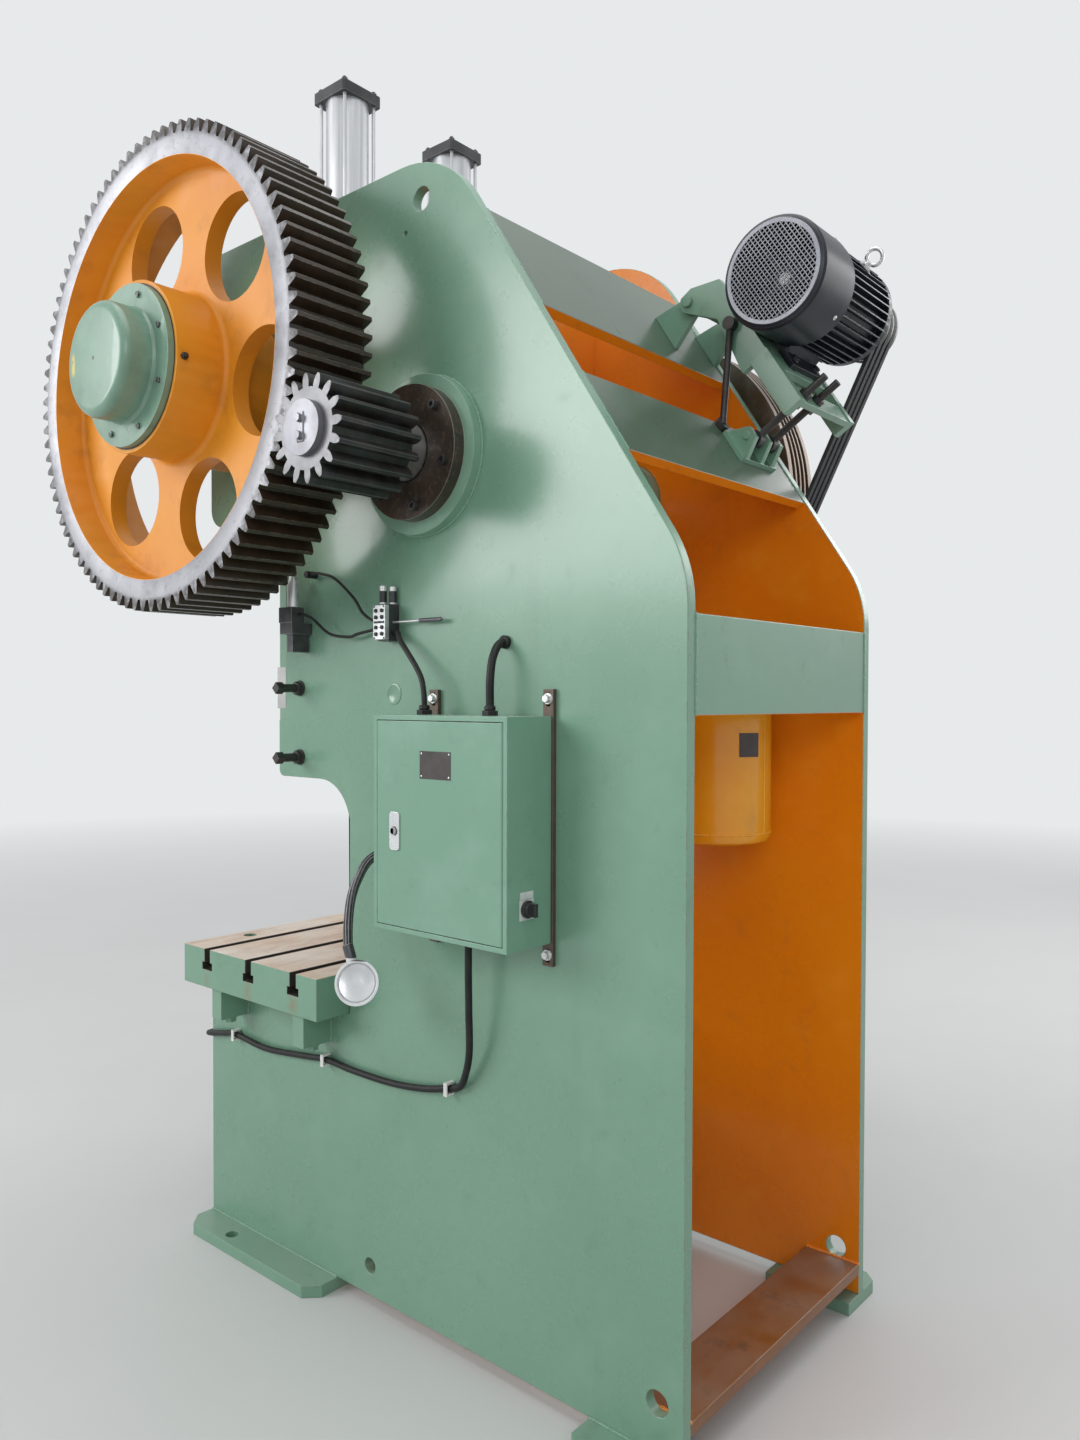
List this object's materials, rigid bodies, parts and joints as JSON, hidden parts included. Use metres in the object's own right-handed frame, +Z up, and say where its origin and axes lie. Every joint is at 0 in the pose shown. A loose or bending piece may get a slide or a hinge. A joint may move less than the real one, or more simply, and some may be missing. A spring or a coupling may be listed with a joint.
{
  "type": "mechanical stamping press",
  "caption": "Open-back mechanical power press: two side plates, geared crankshaft, flywheel and belt drive, guided slide, slotted bolster, balance cylinders and control box.",
  "frame": {"origin": "centre of the four foot anchor holes, on the floor", "axes": "+Z up, -Y towards the press front (slide, bolster), +X towards the side with the large gear and the control box"},
  "size_m": [1.722, 2.1924, 3.495],
  "materials": {
    "frame_green": "semi-gloss machine paint, worn",
    "frame_orange": "semi-gloss machine paint, worn",
    "gear_orange": "painted casting with machined teeth",
    "wheel_orange": "painted casting with a bare machined rim",
    "cast_green": "painted casting",
    "bare_steel": "machined, oiled",
    "rusty_steel": "machined top with light rust",
    "dark_steel": "oiled dark steel",
    "black_steel": "black oxide",
    "motor_black": "semi-gloss dark paint",
    "bright_metal": "satin",
    "zinc_steel": "zinc plated",
    "belt_rubber": "matt",
    "cable_black": "matt",
    "clip_white": "matt",
    "knob_black": "matt",
    "gear_plastic": "matt",
    "tank_orange": "gloss paint",
    "lamp_metal": "light grey paint"
  },
  "bodies": {
    "frame": {"side_plate_right": "frame_green", "side_plate_left": "frame_green", "slanted_top_plate": "frame_green", "motor_seat_plate": "frame_green", "rear_cross_plate": "frame_green", "floor_cross_bar": "frame_orange", "bed_top_plate": "frame_green", "bed_front_plate": "frame_green", "head_top_plate": "frame_green", "head_cross_plate": "frame_orange", "machine_feet": "frame_green", "bolster_brackets": "frame_green", "bolster_plate": "rusty_steel", "frame_screws": "black_steel", "crank_bearing_right": "cast_green", "crank_bearing_left": "cast_green", "crank_end_cover": "cast_green", "back_bearing_right": "cast_green", "back_bearing_left": "cast_green", "v_belts": "belt_rubber", "motor_body": "motor_black", "motor_cowl": "motor_black", "lifting_eye": "zinc_steel", "motor_base": "frame_green", "base_hinge": "frame_green", "tension_bracket": "cast_green", "tension_rods": "black_steel", "slide_gibs": "bare_steel", "gib_screws": "black_steel", "balance_cylinders": "bright_metal", "control_box": "frame_green", "control_gear": "gear_plastic", "box_straps": "dark_steel", "cables": "cable_black", "cable_clips": "clip_white", "air_unit": "bright_metal", "air_tank": "tank_orange", "work_lamp": "lamp_metal"},
    "crank": {"crankshaft": "bare_steel", "bull_gear": "gear_orange", "gear_cap": "cast_green"},
    "rod": {"connecting_rod": "bare_steel", "rod_cap": "bare_steel", "ball_screw": "zinc_steel"},
    "back": {"back_shaft": "bare_steel", "pinion": "bare_steel", "pinion_end_plate": "zinc_steel"},
    "wheel": {"flywheel": "wheel_orange", "clutch_housing": "cast_green"},
    "rotor": {"motor_rotor": "bare_steel", "motor_pulley": "bare_steel", "motor_fan": "motor_black"},
    "slide": {"slide_body": "cast_green", "tool_clamp": "dark_steel", "balance_rods": "zinc_steel"},
    "knockout": {"knockout_bar": "bare_steel"},
    "door": {"box_door": "frame_green", "lock_plate": "bright_metal"},
    "lock": {"door_lock": "bare_steel"},
    "switch": {"main_switch": "knob_black"}
  },
  "joints": [
    {"name": "crank_turn", "type": "hinge", "parent": "frame", "child": "crank", "pos_m": [0, -0.645, 2.53], "axis": [1, 0, 0], "continuous": true},
    {"name": "rod_swing", "type": "hinge", "parent": "crank", "child": "rod", "pos_m": [0, -0.645, 2.61], "axis": [1, 0, 0], "continuous": true},
    {"name": "back_shaft_spin", "type": "hinge", "parent": "frame", "child": "back", "pos_m": [0, 0.04806, 2.265], "axis": [1, 0, 0], "continuous": true},
    {"name": "flywheel_spin", "type": "hinge", "parent": "frame", "child": "wheel", "pos_m": [0, 0.04806, 2.265], "axis": [1, 0, 0], "continuous": true},
    {"name": "motor_spin", "type": "hinge", "parent": "frame", "child": "rotor", "pos_m": [0, 0.74185, 2.71242], "axis": [1, 0, 0], "continuous": true},
    {"name": "slide_travel", "type": "slide", "parent": "frame", "child": "slide", "axis": [0, 0, -1], "range_m": [0, 0.16]},
    {"name": "knockout_lift", "type": "slide", "parent": "slide", "child": "knockout", "axis": [0, 0, 1], "range_m": [0, 0.03]},
    {"name": "door_open", "type": "hinge", "parent": "frame", "child": "door", "pos_m": [0.605, 0.4575, 1.352], "axis": [0, 0, 1], "range_deg": [0, 100]},
    {"name": "lock_turn", "type": "hinge", "parent": "door", "child": "lock", "pos_m": [0.612, 0.116, 1.334], "axis": [1, 0, 0], "range_deg": [0, 90]},
    {"name": "switch_turn", "type": "hinge", "parent": "frame", "child": "switch", "pos_m": [0.546, 0.478, 1.183], "axis": [0, 1, 0], "range_deg": [0, 90]}
  ],
  "couplings": [
    {"joint": "rod_swing", "follows": "crank_turn", "ratio": -1},
    {"joint": "back_shaft_spin", "follows": "crank_turn", "ratio": -5.625},
    {"joint": "motor_spin", "follows": "flywheel_spin", "ratio": 6.1446}
  ]
}
